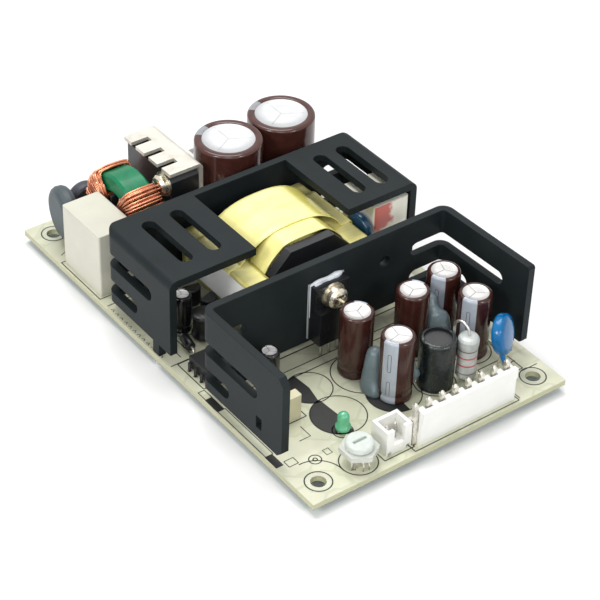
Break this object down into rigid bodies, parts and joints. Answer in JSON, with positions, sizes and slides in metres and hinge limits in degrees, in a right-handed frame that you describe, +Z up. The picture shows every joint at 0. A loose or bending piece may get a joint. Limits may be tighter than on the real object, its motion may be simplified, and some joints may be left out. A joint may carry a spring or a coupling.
{
  "type": "open frame power supply",
  "caption": "Open frame power supply: a rectangular circuit board with black U-shaped heatsinks, a taped transformer, capacitors, a line choke and pin connectors.",
  "frame": {"origin": "centre of the pattern of four mounting holes, on the underside of the board", "axes": "+X along the short edge of the board, +Y along the long edge from the output edge to the input edge, +Z up, from the board towards its components"},
  "size_m": [0.0762, 0.127, 0.031],
  "materials": {
    "board": "satin",
    "solder": "satin",
    "heatsink": "matte",
    "black_plastic": "matte",
    "grey_rubber": "matte",
    "steel": "satin",
    "tinned_steel": "satin",
    "ferrite": "matte",
    "copper": "gloss",
    "yellow_tape": "gloss",
    "white_label": "matte",
    "bare_aluminium": "satin",
    "brown_sleeve": "gloss",
    "black_sleeve": "gloss",
    "cream_plastic": "satin",
    "green_core": "gloss",
    "dark_epoxy": "satin",
    "white_plastic": "satin",
    "tinned_brass": "gloss",
    "blue_epoxy": "gloss",
    "grey_epoxy": "satin",
    "green_lens": "clear",
    "clear_plastic": "frosted"
  },
  "bodies": {
    "supply": {"pcb": "board", "solder_joints": "solder", "post_joints": "solder", "rear_heatsink": "heatsink", "front_heatsink": "heatsink", "output_rectifier": "black_plastic", "switching_transistor": "black_plastic", "insulating_pads": "grey_rubber", "screws": "steel", "flat_washers": "steel", "spring_washers": "steel", "bridge_bracket": "tinned_steel", "bridge_rectifier": "black_plastic", "bridge_screw": "steel", "core_front_half": "ferrite", "core_rear_half": "ferrite", "bobbin": "black_plastic", "transformer_winding": "copper", "transformer_pins": "solder", "core_tape": "yellow_tape", "outer_tape": "yellow_tape", "front_tape": "yellow_tape", "transformer_label": "white_label", "bulk_can_left": "bare_aluminium", "bulk_can_right": "bare_aluminium", "bulk_sleeve_left": "brown_sleeve", "bulk_sleeve_right": "brown_sleeve", "output_capacitor_1": "brown_sleeve", "output_capacitor_2": "brown_sleeve", "output_capacitor_3": "brown_sleeve", "output_capacitor_4": "brown_sleeve", "output_capacitor_5": "brown_sleeve", "small_capacitor_rear": "black_sleeve", "small_capacitor_front": "black_sleeve", "boxed_input_capacitor": "cream_plastic", "line_choke_ring": "green_core", "line_choke_rear_winding": "copper", "line_choke_front_winding": "copper", "line_choke_base": "black_plastic", "inrush_thermistor": "dark_epoxy", "surge_varistor": "dark_epoxy", "fuse": "black_plastic", "inlet_housing": "white_plastic", "inlet_pins": "tinned_brass", "safety_capacitor": "blue_epoxy", "film_capacitor": "cream_plastic", "controller_chip": "black_plastic", "optocoupler": "white_plastic", "box_capacitor": "cream_plastic", "output_header": "white_plastic", "output_pins": "tinned_brass", "sense_header": "white_plastic", "sense_pins": "tinned_brass", "choke_core": "ferrite", "choke_sleeve": "black_sleeve", "load_resistor": "grey_epoxy", "ceramic_capacitor": "blue_epoxy", "status_led": "green_lens", "trimmer_base": "white_plastic"},
    "dial": {"trimmer_dial": "clear_plastic"}
  },
  "joints": [
    {"name": "dial_turn", "type": "hinge", "parent": "supply", "child": "dial", "pos_m": [-0.0209, -0.0578, 0.0064], "axis": [0, 0, 1], "range_deg": [-105, 105]}
  ]
}
